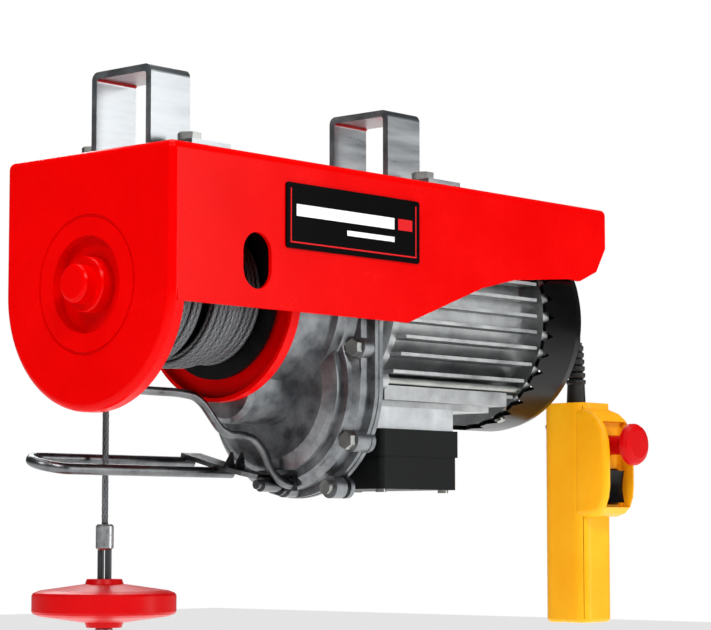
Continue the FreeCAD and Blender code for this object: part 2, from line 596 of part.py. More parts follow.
def makeMotorHousing():
    start, length = "dims.shield_right", "dims.motor_right - dims.shield_right"
    solid = [rod("motor_core", "dims.core_radius", length, (start, 0, "dims.axis_z"))]
    fin_length = f"dims.fin_right - {start}"
    for n in range(-5, 6):
        level = n * size("fin_step")
        outer = min(size("fin_half"), math.sqrt(74.0 ** 2 - level ** 2))
        solid.append(block(f"fin_{n + 5}", (start, -outer, f"dims.axis_z + {n} * dims.fin_step - dims.fin_thick / 2"),
                           (fin_length, 2 * outer, "dims.fin_thick")))
    for n, y in enumerate((-36, -18, 0, 18, 36)):
        solid.append(block(f"top_fin_{n}", (start, f"{y} - dims.fin_thick / 2", "dims.axis_z"),
                           (fin_length, "dims.fin_thick", f"sqrt(68^2 - {y * y})")))
    # the foot steps in towards the switch box
    for n, (right, half, low, tall) in enumerate(((189, 51, -143, 9.5), (178, 44, -147.5, 14), (160, 38, -147.5, 14))):
        solid.append(block(f"motor_foot_{n}", ("dims.shield_right + 1", -half, low),
                           (f"{right} - dims.shield_right - 1", 2 * half, tall)))
    room = [rod("motor_bore", "dims.core_radius - 4", 200, (start, 0, "dims.axis_z"))]
    for n, (y, z) in enumerate(tieSpots):
        room.append(rod(f"tie_way_{n}", 3.4, 200, (50,) + tiePlace(y, z)))
    keep(cut("motor_housing", fuse("motor_casting", solid), room), "motor_housing")
    coil = rod("stator_blank", 49, 106, (78, 0, "dims.axis_z"))
    stack = rod("stator_stack", "dims.core_radius - 4.1", 70, (96, 0, "dims.axis_z"))
    bore = rod("stator_bore", 30, 140, (70, 0, "dims.axis_z"))
    keep(cut("motor_stator", fuse("stator_solid", [coil, stack]), [bore]), "motor_stator")


def makeRotor():
    keep(turned("rotor", [(9.5, 0), (9.5, 3.95), (26, 3.95), (27, 6), (95, 6), (95, 29.6), (165, 29.6), (165, 6), (238, 6), (238, 0)],
                (0, 0, "dims.axis_z")), "rotor")
    hub = rod("fan_hub", 14, 20, (214, 0, "dims.axis_z"))
    disc = rod("fan_disc", 60, 2.5, (214, 0, "dims.axis_z"))
    middle = Vector(216, 0, size("axis_z"))
    blades = [leaningBlock(f"fan_blade_{n}", (18, 48, 2), middle, (0, 10, -1), 45 * n) for n in range(8)]
    bore = rod("fan_bore", 6.02, 40, (205, 0, "dims.axis_z"))
    keep(cut("fan", fuse("fan_solid", [hub, disc] + blades), [bore]), "fan")


def makeTieRods():
    rods = []
    for n, (y, z) in enumerate(tieSpots):
        stem = rod(f"tie_stem_{n}", 2.5, 166, (49,) + tiePlace(y, z))
        nut = hexagon(f"tie_nut_{n}", 7, 4.5, ("dims.motor_right + 7",) + tiePlace(y, z), "x")
        rods.append(fuse(f"tie_rod_{n}", [stem, nut]))
    keep(group("tie_rods", rods), "tie_rods")


def makeFanCover():
    radius, length = "dims.cover_radius", "dims.cover_right - dims.motor_right"
    shell = turned("cover_shell", [
        (0, f"{radius} - 2.5"), (0, radius), (f"{length} - 14", radius), (f"{length} - 7", f"{radius} - 1.5"),
        (f"{length} - 2", f"{radius} - 6"), (length, f"{radius} - 12"), (length, 0), (f"{length} - 2.5", 0),
        (f"{length} - 2.5", f"{radius} - 13"), (f"{length} - 8", f"{radius} - 5"), (f"{length} - 14", f"{radius} - 2.5")],
        ("dims.motor_right", 0, "dims.cover_z"))
    tools = []
    for n in range(36):
        notch = doc.addObject("Part::Wedge", f"vent_notch_{n}")
        notch.Xmin, notch.Xmax, notch.X2min, notch.X2max = -3.8, 3.8, -0.3, 0.3
        notch.Ymin, notch.Ymax = -1, 8.5
        notch.Zmin, notch.Zmax, notch.Z2min, notch.Z2max = 60, 90, 60, 90
        facing = FreeCAD.Rotation(Vector(1, 0, 0), 10 * n) * FreeCAD.Rotation(Vector(0, 0, 1), -90)
        notch.Placement = FreeCAD.Placement(Vector(size("motor_right"), 0, size("cover_z")), facing)
        tools.append(notch)
    for band, (inner, outer, count) in enumerate(((16, 34, 12), (39, 58, 24))):
        middle = Vector(size("cover_right") - 5, 0, size("cover_z"))
        tools += [leaningBlock(f"grille_{band}_{n}", (10, outer - inner, 3.2), middle, (0, inner, -1.6),
                               360 * n / count) for n in range(count)]
    tools += coverScrewPins("cover_way", 1.65, 70, 10)
    tools += [rod(f"nut_relief_{n}", 4.5, 14, ("dims.motor_right - 1",) + tiePlace(y, z))
              for n, (y, z) in enumerate(tieSpots)]
    keep(cut("fan_cover", shell, tools), "fan_cover")


# --- switch box --------------------------------------------------------------------------

def makeSwitchBox():
    left, half = "dims.case_left", "dims.case_half"
    length = "dims.case_right - dims.case_left"
    inside = (f"{length} - 5", f"2 * {half} - 5")
    web = block("bracket_web", (left, -50, "dims.case_top + 12"), (length, 100, 2.5))
    foot = block("bracket_foot", (left, -50, "dims.case_top"), (length, 100, 2.5))
    walls = [block(f"bracket_wall_{side + 1}", (left, f"{side} * 48.75 - 1.25", "dims.case_top"), (length, 2.5, 14.5))
             for side in (-1, 1)]
    slot = rod("bracket_wire_way", 6, 60, (95, 0, -190), "z")
    keep(cut("box_bracket", fuse("bracket_sheet", [web, foot] + walls), [slot]), "box_bracket")

    def tray(name, low, high, open_side, lip=0):
        near, far, side = f"{left} - {lip}", f"dims.case_right + {lip}", f"{half} + {lip}"
        body = slab(name, "XY_Plane", low, f"({high}) - ({low})",
                    [(near, f"-({side})"), (far, f"-({side})"), (far, side), (near, side)])
        soften(body, 4, edgeAlong("z"))
        floor = f"({low}) + {2.5 if open_side > 0 else -1}"
        deep = f"({high}) - ({low}) - 1.5"
        return body, block(name + "_room", (f"{left} + 2.5", f"-{half} + 2.5", floor), inside + (deep,))

    body, room = tray("base_tray", "dims.case_split", "dims.case_top", -1, 1.2)
    wires = rod("base_wire_way", 6, 20, (95, 0, "dims.case_top - 5"), "z")
    keep(cut("box_base", body, [room, wires]), "box_base")
    body, room = tray("lid_tray", "dims.case_low", "dims.case_split", 1)
    holes = [block("lever_entry", (f"{left} - 3", -5.4, -191.4), (8, 9.4, 6.8))]
    glands = [rod("mains_entry", 8.2, 10, (76, f"{half} - 5", -190.5), "y"),
              rod("pendant_entry", 7.2, 10, ("dims.case_right - 5", 38, -190.5))]
    boss = [rod(f"lid_post_{n}", 4, 17, (x, y, -199), "z")
            for n, (x, y) in enumerate(((62, -47), (62, 47), (125, -47), (125, 47)))]
    ways = [rod(f"lid_way_{n}", 1.7, 30, (x, y, -205), "z")
            for n, (x, y) in enumerate(((62, -47), (62, 47), (125, -47), (125, 47)))]
    lid = fuse("lid_with_posts", [cut("lid_shell", body, [room])] + boss)
    keep(cut("box_lid", lid, holes + glands + ways), "box_lid")
    keep(rod("capacitor", 7.5, 66, (95, -36, -172.6), "y"), "capacitor")
    blocks = [block(f"terminal_{n}", (f"{70 + 11 * n}", 12, -197.5), (10, 22, 14)) for n in range(4)]
    keep(fuse("terminal_block", blocks + [block("terminal_rail", (70, 14, -198.4), (43, 18, 3))]), "terminal_block")
    case = block("switch_case", (60, -34, -198.4), (10, 26, 16))
    button = rod("switch_plunger", 1.8, 5, (64, -9, -188), "y")
    keep(fuse("limit_switch", [case, button]), "limit_switch")


def makeGlands():
    def gland(name, body_radius, bore, length, at, axis, flats):
        neck = rod(name + "_neck", body_radius, 9, at, axis)
        shift = {"x": (2.5, 0, 0), "y": (0, 2.5, 0)}[axis]
        out = [f"{spot} + {step}" for spot, step in zip(at, shift)]
        collar = hexagon(name + "_collar", flats, 7, out, axis)
        dome = rod(name + "_dome", body_radius + 1, length, out, axis)
        way = rod(name + "_way", bore, 60, [f"{spot} - {step * 4}" for spot, step in zip(out, shift)], axis)
        keep(cut(name, fuse(name + "_solid", [neck, collar, dome]), [way]), name)

    gland("mains_gland", 8, 4.2, 18, (76, "dims.case_half - 2.5", -190.5), "y", 21)
    gland("pendant_gland", 7, "dims.cable_radius + 0.05", 18, ("dims.case_right - 2.5", 38, -190.5), "x", 19)


handsetScrews = [(f"dims.hand_x + {side} * 11", "dims.hand_y + 16.6", z) for side, z in ((-1, -152), (1, -152), (0, -282))]


def makeCoverScrews():
    """Pan-head screws of the fan cover, the switch box lid and the handset."""
    screws = []
    heads, stems = coverScrewPins("screw_head", 3, 75.6, 1.8), coverScrewPins("screw_stem", 1.6, 64, 12.4)
    screws += [fuse(f"cover_screw_{n}", pair) for n, pair in enumerate(zip(heads, stems))]
    for n, (x, y) in enumerate(((62, -47), (62, 47), (125, -47), (125, 47))):
        screws.append(fuse(f"lid_screw_{n}", [rod(f"lid_screw_head_{n}", 3.5, 2, (x, y, "dims.case_low - 2"), "z"),
                                              rod(f"lid_screw_stem_{n}", 1.65, 12, (x, y, "dims.case_low - 1"), "z")]))
    screws += [rod(f"handset_screw_{n}", 2.6, 1.6, spot, "y") for n, spot in enumerate(handsetScrews)]
    keep(group("cover_screws", screws), "cover_screws")


# --- levers ------------------------------------------------------------------------------

def makeUpperLimitLever():
    radius, pivot, slope = size("loop_rod"), size("lever_z"), 0.26
    tip, near, far, corner = -155.5 + radius, 31, 58.5, 9

    def onPlane(x, y):
        return x, y, pivot + slope * y

    route = [onPlane(3, near), onPlane(tip + corner, near), onPlane(tip, near + corner),
             onPlane(tip, far - corner), onPlane(tip + corner, far), onPlane(-6, far)]
    loop = tubeShape(route, radius, "upper lever")
    lean = math.degrees(math.atan(slope))
    plate = Part.Face(Part.makePolygon([Vector(*p) for p in (
        (-14, 63, 0), (4, 63, 0), (5, 30, 0), (6, 12, 0), (13, 7, 0), (13, 3, 0), (-2, 3, 0), (-8, 12, 0),
        (-14, 34, 0), (-14, 63, 0))])).extrude(Vector(0, 0, 3))
    ears = [Part.Face(Part.makePolygon([Vector(x, 22, 2), Vector(x + 9.4, 22, 2), Vector(x + 4.7, 22, 13),
                                        Vector(x, 22, 2)])).extrude(Vector(0, 2.5, 0)) for x in (-13, -3.5)]
    leaf = plate.fuse(ears)
    leaf.rotate(Vector(0, 0, 0), Vector(1, 0, 0), lean)
    leaf.translate(Vector(0, 0, pivot + radius - 0.8))
    sleeve = Part.makeCylinder(4.6, 16, Vector(-2, 0, pivot), Vector(1, 0, 0))
    shaft = Part.makeCylinder(3, 56, Vector(-6, 0, pivot), Vector(1, 0, 0))
    # behind the gearbox a crank lifts a finger, which reaches into the switch box
    crank = Part.makeBox(4, 6, 16, Vector(46, -3, pivot - 3))
    finger = Part.makeCylinder(2.2, 20, Vector(46, 0, pivot + 10.5), Vector(1, 0, 0))
    solid = loop.fuse([leaf, sleeve, shaft, crank, finger]).removeSplitter()
    keep(feature("upper_limit_lever", solid), "upper_limit_lever")


def makeSlackRopeLever():
    radius, pivot = size("slack_rod"), size("lever_z")
    # the rod climbs from the pivot, clears the idler boss and runs along under the drum
    route = [(17.6, -0.6), (8.5, 0.8), (1.5, 9), (-2.4, 21), (-8, 28.5), (-17, 31), (-30, 31), (-39, 34.5),
             (-54, 50), (-62, 54.6), (-76, 56), (-100, 56), (-142, 56.6)]
    route = [(x, -10.4 + 10.4 * min(1, max(0, (10 - x) / 20)), pivot + up) for x, up in route]
    rod_solid = tubeShape(route, radius, "slack lever")
    collar = Part.makeCylinder(6.5, 3, Vector(15.6, 0, pivot), Vector(1, 0, 0))
    strap = Part.makeBox(3, 10, 10, Vector(15.6, -13.4, pivot - 4))
    rivet = Part.makeCylinder(2.2, 5, Vector(13.8, -9.5, pivot + 3.6), Vector(1, 0, 0))
    hole = Part.makeCylinder(3.05, 10, Vector(13, 0, pivot), Vector(1, 0, 0))
    solid = rod_solid.fuse([collar, strap, rivet]).cut(hole).removeSplitter()
    keep(feature("slack_rope_lever", solid), "slack_rope_lever")


# --- hanging rope end --------------------------------------------------------------------

def makeRopeEnd():
    x, y = "dims.rope_x", "dims.rope_radius_on_drum"
    keep(rod("rope_line", "dims.rope_diameter / 2", "dims.axis_z - dims.ferrule_top", (x, y, "dims.ferrule_top"), "z"),
         "rope_line")
    sleeves = []
    for n, (top, length) in enumerate((("dims.ferrule_top", 16), ("dims.disc_low", 18))):
        sleeves.append(turned(f"ferrule_{n}", [(0, 0), (0, 4.6), (1.2, 5.6), (f"{length} - 1.2", 5.6), (length, 4.6),
                                               (length, 0)], (x, y, f"{top} - {length}"), "z"))
    keep(group("rope_ferrules", sleeves), "rope_ferrules")
    line_x, line_y, rope = size("rope_x"), size("rope_radius_on_drum"), size("rope_diameter") / 2
    top, low, wide = -306, -334, 6.5
    eyes = [Part.makeCylinder(rope, 18, Vector(line_x, line_y + side, -258), Vector(0, 0, 1)) for side in (-3.4, 3.4)]
    # the load loop goes down, round the hook's eye and up again; both legs part from a tapered neck
    loop = Part.Wire([
        Part.makeLine(Vector(line_x, line_y - wide, top), Vector(line_x, line_y - wide, low)),
        Part.Arc(Vector(line_x, line_y - wide, low), Vector(line_x, line_y, low - wide),
                 Vector(line_x, line_y + wide, low)).toShape(),
        Part.makeLine(Vector(line_x, line_y + wide, low), Vector(line_x, line_y + wide, top))])
    section = Part.Wire(Part.makeCircle(rope, Vector(line_x, line_y - wide, top), Vector(0, 0, -1)))
    neck = Part.makeCone(5.4, 8.55, 6, Vector(line_x, line_y, top), Vector(0, 0, -1))
    eyes.append(loop.makePipeShell([section], True, True, 2).fuse(neck))
    keep(feature("rope_eyes", Part.makeCompound(eyes)), "rope_eyes")
    depth = "dims.disc_top - dims.disc_low"
    keep(turned("stop_disc", [(0, 0), (0, 11), (3, 12), (7, 40), (8.5, "dims.disc_radius - 1"), (10, "dims.disc_radius"),
                              (f"{depth} - 10", "dims.disc_radius"), (f"{depth} - 8.5", "dims.disc_radius - 1"),
                              (f"{depth} - 7", 40), (f"{depth} - 3", 12), (depth, 11), (depth, 0)],
                (x, y, "dims.disc_low"), "z"), "stop_disc")


def hookSolid(eye, bowl, bowl_radius, body_radius, eye_ring, neck, tip_rise):
    """A forged hook in its own upright plane: an eye, a neck and a bowl that tapers to the tip.
    Points are (across, up) with the bowl's centre at the origin and the eye above it."""
    stations = [(0, eye - eye_ring[0] - 2.6, neck), (bowl_radius * 0.42, eye - eye_ring[0] - 13, neck + 0.4),
                (bowl_radius * 0.86, bowl_radius * 0.75, body_radius * 0.86)]
    for angle in (10, -25, -60, -95, -130, -165):
        turn = math.radians(angle)
        thick = body_radius * (1 - 0.12 * abs(angle + 60) / 90)
        stations.append((bowl_radius * math.cos(turn), bowl_radius * math.sin(turn), thick))
    stations += [(-bowl_radius * 1.03, tip_rise * 0.5, body_radius * 0.66), (-bowl_radius * 1.12, tip_rise, body_radius * 0.42)]
    rings = []
    spots = [Vector(across + bowl, 0, up) for across, up, _ in stations]
    for n, spot in enumerate(spots):
        ahead, behind = spots[min(n + 1, len(spots) - 1)], spots[max(n - 1, 0)]
        circle = Part.makeCircle(stations[n][2])
        facing = FreeCAD.Rotation(Vector(0, 1, 0), Vector(0, 0, 0), ahead - behind, "ZXY")
        circle.Placement = FreeCAD.Placement(spot, facing)
        rings.append(Part.Wire(circle))
    body = Part.makeLoft(rings, True, False)
    eye_loop = Part.makeTorus(eye_ring[0], eye_ring[1], Vector(0, 0, eye), Vector(0, 1, 0))
    return body.fuse([eye_loop])


def latchSolid(top, low, width):
    """A folded sheet latch: two cheeks and a back joined over the pivot, in the hook's plane."""
    along = Vector(low[0] - top[0], 0, low[1] - top[1])
    length = along.Length
    lean = math.degrees(math.atan2(along.x, -along.z))
    leaf = Part.makeBox(1.4, width, length, Vector(-4, -width / 2, -length))
    sides = [Part.makeBox(6, 1.2, length * 0.55, Vector(-4, side, -length * 0.55))
             for side in (-width / 2, width / 2 - 1.2)]
    pivot = [Part.makeCylinder(4, 1.2, Vector(0, side, 0), Vector(0, 1, 0)) for side in (-width / 2, width / 2 - 1.2)]
    axle = Part.makeCylinder(1.5, width + 2, Vector(0, -width / 2 - 1, 0), Vector(0, 1, 0))
    solid = leaf.fuse(sides + pivot + [axle])
    solid.rotate(Vector(0, 0, 0), Vector(0, 1, 0), -lean)
    solid.translate(Vector(top[0], 0, top[1]))
    return solid


def makeLoadHook():
    x, y, bowl = size("rope_x"), size("rope_radius_on_drum"), size("bowl_z")
    rise = size("hook_eye_z") - bowl
    hook = hookSolid(rise, -3, 17, 7, (9.5, 4), 5.2, 24)
    # the latch pivot passes through an ear on the neck
    ear = Part.makeCylinder(4.4, 7, Vector(-5.5, -3.5, 38), Vector(0, 1, 0))
    way = Part.makeCylinder(1.55, 20, Vector(-7.5, -10, 38), Vector(0, 1, 0))
    hook = hook.fuse([ear]).cut(way)
    hook.translate(Vector(x, y, bowl))
    latch = latchSolid((-7.5, 38), (-15, 14.5), 11)
    latch.translate(Vector(x, y, bowl))
    keep(feature("load_hook", hook), "load_hook")
    keep(feature("load_hook_latch", latch.cut(hook)), "load_hook_latch")


def makePulleyBlock():
    x, y, eye = size("rope_x") - 3, size("rope_radius_on_drum"), size("block_eye_z")
    bowl = eye + 67
    hook = hookSolid(67, 3, 21.5, 8.5, (11.5, 4.5), 6.4, 28)
    ear = Part.makeCylinder(5, 8, Vector(-6.5, -4, 44), Vector(0, 1, 0))
    way = Part.makeCylinder(1.55, 20, Vector(-9, -10, 44), Vector(0, 1, 0))
    latch = latchSolid((-9, 44), (-14.5, 17), 13)
    hook = hook.fuse([ear]).cut(way)
    for label, solid in (("block_hook", hook), ("block_hook_latch", latch.cut(hook))):
        # turned upside down, in the plane across the load hook's plane
        solid.rotate(Vector(0, 0, 0), Vector(0, 1, 0), 180)
        solid.rotate(Vector(0, 0, 0), Vector(0, 0, 1), 90)
        solid.translate(Vector(x, y, bowl))
        keep(feature(label, solid), label)
    px = "dims.rope_x - 3"
    py = "dims.rope_radius_on_drum"
    sheets = []
    for n, side in enumerate((-1, 1)):
        start = f"{px} + {side} * (dims.cheek_gap + dims.cheek_wall / 2) - dims.cheek_wall / 2"
        blank = fuse(f"cheek_{n}", [
            rod(f"cheek_round_{n}", 29, "dims.cheek_wall", (start, py, "dims.sheave_z")),
            rod(f"cheek_nose_{n}", 15, "dims.cheek_wall", (start, py, "dims.block_eye_z")),
            keepWedge(f"cheek_web_{n}", start)])
        ways = [rod(f"cheek_axle_way_{n}", 5.05, 20, (f"{start} - 5", py, "dims.sheave_z")),
                rod(f"cheek_hook_way_{n}", 5.05, 20, (f"{start} - 5", py, "dims.block_eye_z"))]
        ways += [rod(f"cheek_bolt_way_{n}_{m}", 3.05, 20, (f"{start} - 5", f"{py} + {shift}", "dims.sheave_z + 33"))
                 for m, shift in enumerate((-17, 17))]
        sheets.append(cut(f"cheek_plate_{n}", blank, ways))
    keep(group("block_cheeks", sheets), "block_cheeks")
    width = "2 * (dims.cheek_gap + dims.cheek_wall)"
    left = f"{px} - ({width}) / 2"
    pins = [fuse("sheave_axle", [rod("axle_stem", 5, width, (left, py, "dims.sheave_z")),
                                 rod("axle_head", 6.5, 1.6, (f"{left} - 1.6", py, "dims.sheave_z")),
                                 rod("axle_foot", 6.5, 1.6, (f"{left} + {width}", py, "dims.sheave_z"))]),
            fuse("hook_bolt", [rod("hook_bolt_stem", 5, f"{width} + 8", (left, py, "dims.block_eye_z")),
                               hexagon("hook_bolt_head", 15, 7, (f"{left} - 7", py, "dims.block_eye_z"), "x"),
                               hexagon("hook_bolt_nut", 15, 7, (f"{left} + {width}", py, "dims.block_eye_z"), "x")])]
    for n, shift in enumerate((-17, 17)):
        spot = (f"{py} + {shift}", "dims.sheave_z + 33")
        pins.append(fuse(f"spacer_bolt_{n}", [
            rod(f"spacer_stem_{n}", 3, width, (left,) + spot),
            rod(f"spacer_sleeve_{n}", 4.4, "2 * dims.cheek_gap", (f"{px} - dims.cheek_gap",) + spot),
            hexagon(f"spacer_head_{n}", 10, 4, (f"{left} - 4",) + spot, "x"),
            hexagon(f"spacer_nut_{n}", 10, 4, (f"{left} + {width}",) + spot, "x")]))
    keep(group("block_bolts", pins), "block_bolts")
    keep(turned("sheave", [(-7, 5.05), (-7, "dims.sheave_radius"), (-5.5, "dims.sheave_radius"), (-2.2, 21), (2.2, 21),
                           (5.5, "dims.sheave_radius"), (7, "dims.sheave_radius"), (7, 5.05)],
                (px, py, "dims.sheave_z")), "sheave")


def keepWedge(name, start):
    """The straight-sided web between a cheek's round end and its nose."""
    reach, tall = 29, size("block_eye_z") - size("sheave_z")
    lean = math.acos((reach - 15) / tall)
    edge = [(reach * math.sin(lean), reach * math.cos(lean)), (15 * math.sin(lean), tall + 15 * math.cos(lean))]
    py = "dims.rope_radius_on_drum"
    corners = [(f"{py} + {edge[0][0]}", f"dims.sheave_z + {edge[0][1]}"),
               (f"{py} + {edge[1][0]}", f"dims.sheave_z + {edge[1][1]}"),
               (f"{py} - {edge[1][0]}", f"dims.sheave_z + {edge[1][1]}"),
               (f"{py} - {edge[0][0]}", f"dims.sheave_z + {edge[0][1]}")]
    return slab(name, "YZ_Plane", start, "dims.cheek_wall", corners)


# --- handset and cable -------------------------------------------------------------------

def makeHandset():
    x, y, half = "dims.hand_x", "dims.hand_y", "dims.hand_half"
    top, low = "dims.hand_top", "dims.hand_low"

    def shell(label, near, far, open_side):
        body = slab(label + "_shell", "XY_Plane", low, f"{top} - {low}",
                    [(f"{x} - {half}", near), (f"{x} + {half}", near), (f"{x} + {half}", far), (f"{x} - {half}", far)])
        outer = near if open_side > 0 else far
        soften(body, 9, edgeAlong("z", y=[value(outer)]))
        soften(body, 3, edgeOnPlane("Z", size("hand_low")))
        begin = f"({near}) + 2.5" if open_side > 0 else f"({near}) - 5"
        room = block(label + "_room", (f"{x} - {half} + 2.5", begin, f"{low} + 2.5"),
                     (f"2 * {half} - 5", f"({far}) - ({near}) + 2.5", f"{top} - {low} - 5"))
        return body, room

    neck = rod("boot_way", 5, 30, (x, y, f"{top} - 10"), "z")
    body, room = shell("front", f"{y} - 20", f"{y}", 1)
    head = slab("hood", "YZ_Plane", f"{x} - {half}", f"2 * {half}",
                [(f"{y} - {out}", z) for out, z in (
                    (10, -138.5), (19, -139.5), (27, -142.5), (33, -147.5), (37, -154), (39.4, -162), (40, -171),
                    (40, -196), (39.2, -204), (36.6, -211), (32, -215.4), (26, -217.5), (10, -218))])
    soften(head, 4.5, lambda edge: any(edgeOnPlane("X", value(f"{x} + {side} * {half}"))(edge) for side in (-1, 1)))
    window = block("hood_window", (f"{x} - {half} + 4", f"{y} - 60", -211), (f"2 * {half} - 8", 30, 62))
    deck = rod("stop_way", 7.3, 40, (x, f"{y} - 45", -166), "y")
    rocker_way = block("rocker_way", (f"{x} - 10", f"{y} - 45", -209), (20, 30, 26))
    body = cut("front_hollowed", fuse("front_solid", [body, head]), [room, neck, window, deck, rocker_way])
    rocker_pin = rod("rocker_pin", 1.4, 26, (f"{x} - 13", f"{y} - 28", -196))
    keep(fuse("pendant_front", [body, rocker_pin]), "pendant_front_shell")
    body, room = shell("rear", f"{y}", f"{y} + 18.2", -1)
    # shallow finger waves down the back, with a countersink for each screw
    waves = [rod(f"finger_wave_{n}", 30, 60, (f"{x} - 30", f"{y} + 46", -176 - 26 * n)) for n in range(5)]
    seats = [rod(f"handset_seat_{n}", 2.65, 5, spot, "y") for n, spot in enumerate(handsetScrews)]
    keep(cut("pendant_rear_shell", body, [room, neck] + waves + seats), "pendant_rear_shell")
    ribs = [(0, 3.55), (0, 7)]
    for n in range(6):
        level = 14 + 5 * n
        ribs += [(level, 6.4 - 0.25 * n), (level + 1, 7.2 - 0.3 * n), (level + 3.4, 7.2 - 0.3 * n), (level + 4.2, 5 - 0.1 * n)]
    ribs += [(45, 4.6), (45, 3.55)]
    keep(turned("pendant_boot", ribs, (x, y, top), "z"), "pendant_boot")
    keep(block("switch_block", (f"{x} - 12", f"{y} - 10", -212), (24, 18, 66)), "switch_block")
    cap = turned("stop_cap", [(0, 0), (0, 10), (1.5, 13.5), (4, 15), (7, 15), (9, 13), (9, 7), (27, 7), (27, 0)],
                 (x, f"{y} - 56", -166), "y")
    keep(cap, "stop_button")
    rocker = block("rocker_block", (f"{x} - 9", f"{y} - 38", -207.5), (18, 12, 23))
    groove = rod("rocker_hollow", 40, 30, (f"{x} - 15", f"{y} - 74.5", -196), "x")
    pivot = rod("rocker_bore", 1.45, 30, (f"{x} - 15", f"{y} - 28", -196))
    keep(cut("rocker_switch", rocker, [groove, pivot]), "rocker_switch")


upperCable = [(147.5, 38, -190.5), (169, 38, -190), (194, 41, -184), (219, 46, -172), (242, 53, -155),
              (260, 61, -130), (272, 68, -101), (279, 71.5, -73), (281.5, 64.8, -50.3)]


def makeCable():
    radius = size("cable_radius")
    keep(feature("pendant_cable_upper", tubeShape(upperCable, radius, "upper cable")), "pendant_cable_upper")
    keep(ring("pendant_cable_coil", "dims.coil_radius + dims.cable_radius", "dims.coil_radius - dims.cable_radius",
              39.1, ("dims.coil_start - dims.cable_radius", "dims.coil_y", "dims.coil_z")), "pendant_cable_coil")
    keep(rod("pendant_cable_lower", "dims.cable_radius", "dims.coil_z - dims.hand_top - 4",
             ("dims.hand_x", "dims.hand_y", "dims.hand_top + 4"), "z"), "pendant_cable_lower")
    low = "dims.coil_z + dims.coil_radius - dims.cable_radius - 1.4"
    outer = block("tie_outer", (268.5, "dims.coil_y - 3", low), (50.7, 6, f"-5.5 - ({low})"))
    inner = block("tie_inner", (269.8, "dims.coil_y - 5", f"{low} + 1.3"), (48.1, 10, f"-8.1 - ({low})"))
    latch = block("tie_head", (290, "dims.coil_y - 4", -6.8), (9, 8, 5))
    keep(fuse("cable_tie", [cut("tie_band", outer, [inner]), latch]), "cable_tie")


for make in (makeHousingChannel, makeDrumEndPlate, makeGearboxEndPlate, makeClamps, makeClampFasteners, makeBadge,
             makeGearboxHousing, makeGearboxCover, makeGears, makeDrum, makeBearings, makeMotorShields,
             makeMotorHousing, makeRotor, makeTieRods, makeFanCover, makeSwitchBox, makeGlands, makeCoverScrews,
             makeUpperLimitLever, makeSlackRopeLever, makeRopeEnd, makeLoadHook, makePulleyBlock, makeHandset,
             makeCable):
    make()
doc.recompute()

failed = [item.Name for item in doc.Objects if "Invalid" in item.State or "Error" in item.State]
assert not failed, f"objects that did not recompute: {failed}"
invalid = [piece.Label for piece in pieces if piece.Shape.isNull() or not piece.Shape.isValid()]
assert not invalid, f"sub-parts without a valid shape: {invalid}"
os.makedirs("parts", exist_ok=True)
for piece in pieces:
    piece.Shape.exportStep(f"parts/{piece.Label}.step")
print(len(pieces), "parts written")
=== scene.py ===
import math
import bpy
import numpy as np
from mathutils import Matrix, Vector


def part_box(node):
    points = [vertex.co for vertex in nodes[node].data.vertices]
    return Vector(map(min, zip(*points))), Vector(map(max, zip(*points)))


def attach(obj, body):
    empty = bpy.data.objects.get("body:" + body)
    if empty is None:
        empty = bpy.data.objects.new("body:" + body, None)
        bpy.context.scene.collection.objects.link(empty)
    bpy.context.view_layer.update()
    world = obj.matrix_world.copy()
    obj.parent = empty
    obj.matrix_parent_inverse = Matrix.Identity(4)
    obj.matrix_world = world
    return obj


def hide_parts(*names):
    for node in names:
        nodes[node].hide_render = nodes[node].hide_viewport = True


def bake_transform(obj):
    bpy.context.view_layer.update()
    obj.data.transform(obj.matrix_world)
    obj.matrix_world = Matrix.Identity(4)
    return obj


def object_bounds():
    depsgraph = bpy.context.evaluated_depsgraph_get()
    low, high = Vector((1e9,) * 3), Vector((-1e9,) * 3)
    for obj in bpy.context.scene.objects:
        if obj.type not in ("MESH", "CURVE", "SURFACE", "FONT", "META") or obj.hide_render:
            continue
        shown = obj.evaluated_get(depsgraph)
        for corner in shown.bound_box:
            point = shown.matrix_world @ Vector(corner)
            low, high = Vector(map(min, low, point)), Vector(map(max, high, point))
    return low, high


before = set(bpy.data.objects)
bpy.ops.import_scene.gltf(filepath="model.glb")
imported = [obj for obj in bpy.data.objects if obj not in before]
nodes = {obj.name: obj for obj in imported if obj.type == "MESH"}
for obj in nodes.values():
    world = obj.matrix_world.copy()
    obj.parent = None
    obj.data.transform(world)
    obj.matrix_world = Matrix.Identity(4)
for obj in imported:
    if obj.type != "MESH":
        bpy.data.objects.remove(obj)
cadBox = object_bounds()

mm = 0.001


# sRGB hex to a linear RGBA: the usual power curve with its straight foot
def linear(hexColour):
    parts = [int(hexColour[i:i + 2], 16) / 255 for i in (1, 3, 5)]
    return tuple(c / 12.92 if c <= 0.04045 else ((c + 0.055) / 1.055) ** 2.4 for c in parts) + (1.0,)


# a setting goes to the socket of that name or number, or else to the node itself
def addNode(tree, kind, settings=None, links=None):
    node = tree.nodes.new(kind)
    for key, setting in (settings or {}).items():
        if isinstance(key, int) or key in node.inputs:
            node.inputs[key].default_value = setting
        else:
            setattr(node, key, setting)
    for key, source in (links or {}).items():
        tree.links.new(source, node.inputs[key])
    return node


view = {
    "place": (-1.132, -1.085, -0.229),
    "azimuth": -48.4,      # degrees, 0 looks along +Y
    "pitch": 5.1,
    "lens": 123.3,
    "sensor": 36,
    "farthest": 60,
}


